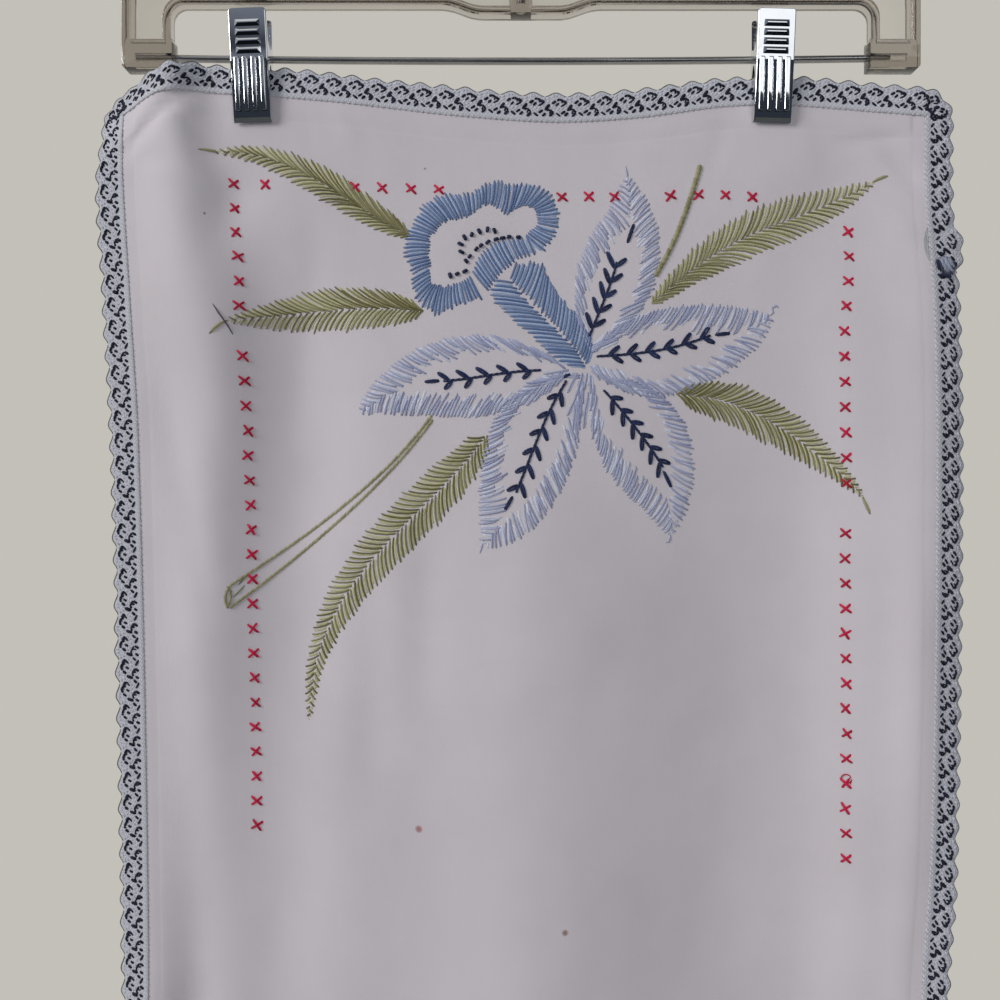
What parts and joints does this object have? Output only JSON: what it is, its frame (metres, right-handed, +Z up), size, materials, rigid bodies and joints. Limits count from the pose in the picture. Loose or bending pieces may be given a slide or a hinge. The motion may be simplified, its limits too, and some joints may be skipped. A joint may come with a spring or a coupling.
{
  "type": "embroidered table runner on a clip hanger",
  "caption": "Long white cotton table runner with a knitted scalloped edging, embroidered at one end, hanging by its short hem from a clear plastic clip hanger with a wire hook.",
  "frame": {"origin": "the point inside the top of the hook that bears on the rail", "axes": "+Z up, the runner hangs along -Z; +X to the right of a viewer who faces the embroidered side, which faces -Y"},
  "size_m": [0.3909, 0.0197, 1.0519],
  "materials": {
    "white_cotton": "plain weave, matt",
    "knitted_edging": "white and navy thread, matt",
    "clear_plastic": "clear moulded plastic, glossy",
    "steel": "drawn wire, satin",
    "chrome": "bright plated"
  },
  "bodies": {
    "root": {"runner_cloth": "white_cotton", "edging": "knitted_edging", "hanger_frame": "clear_plastic", "hanger_rod": "steel", "hook": "chrome", "clip_left_front": "chrome", "clip_left_back": "chrome", "clip_left_spring": "steel", "clip_right_front": "chrome", "clip_right_back": "chrome", "clip_right_spring": "steel"}
  },
  "joints": []
}
